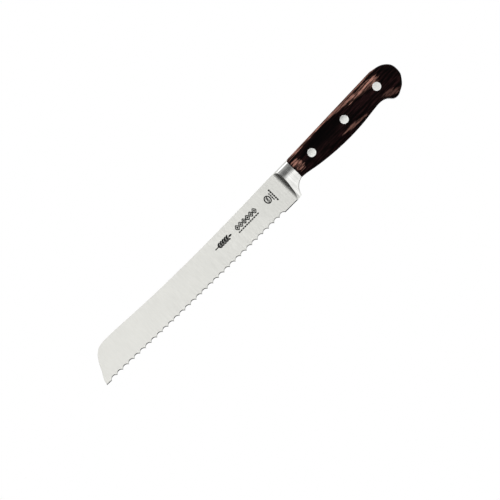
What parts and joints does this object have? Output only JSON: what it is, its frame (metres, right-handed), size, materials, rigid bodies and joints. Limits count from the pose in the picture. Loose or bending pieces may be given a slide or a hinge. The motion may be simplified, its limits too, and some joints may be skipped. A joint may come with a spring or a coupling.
{
  "type": "bread knife",
  "caption": "Serrated bread knife with a forged full bolster, a blunt upswept tip and riveted dark wooden scales on a full tang, for slicing loaves.",
  "frame": {"origin": "on the rivet line in the middle plane of the thickness, where the bolster meets the front of the scales", "axes": "+X along the rivet line to the butt of the grip, +Z to the spine with the cutting edge facing -Z, +Y through the thickness to the right-hand side"},
  "size_m": [0.3202, 0.0164, 0.0299],
  "materials": {
    "blade_steel": "fine cross-brushed satin on the blade, polished on the bolster",
    "scale_wood": "dark stained laminated wood with reddish-brown figure, satin",
    "rivet_metal": "ground flush, satin"
  },
  "bodies": {
    "root": {"forged_blade": "blade_steel", "left_scale": "scale_wood", "right_scale": "scale_wood", "front_rivet_pin": "rivet_metal", "front_rivet_tube": "rivet_metal", "middle_rivet_pin": "rivet_metal", "middle_rivet_tube": "rivet_metal", "rear_rivet_pin": "rivet_metal", "rear_rivet_tube": "rivet_metal"}
  },
  "joints": []
}
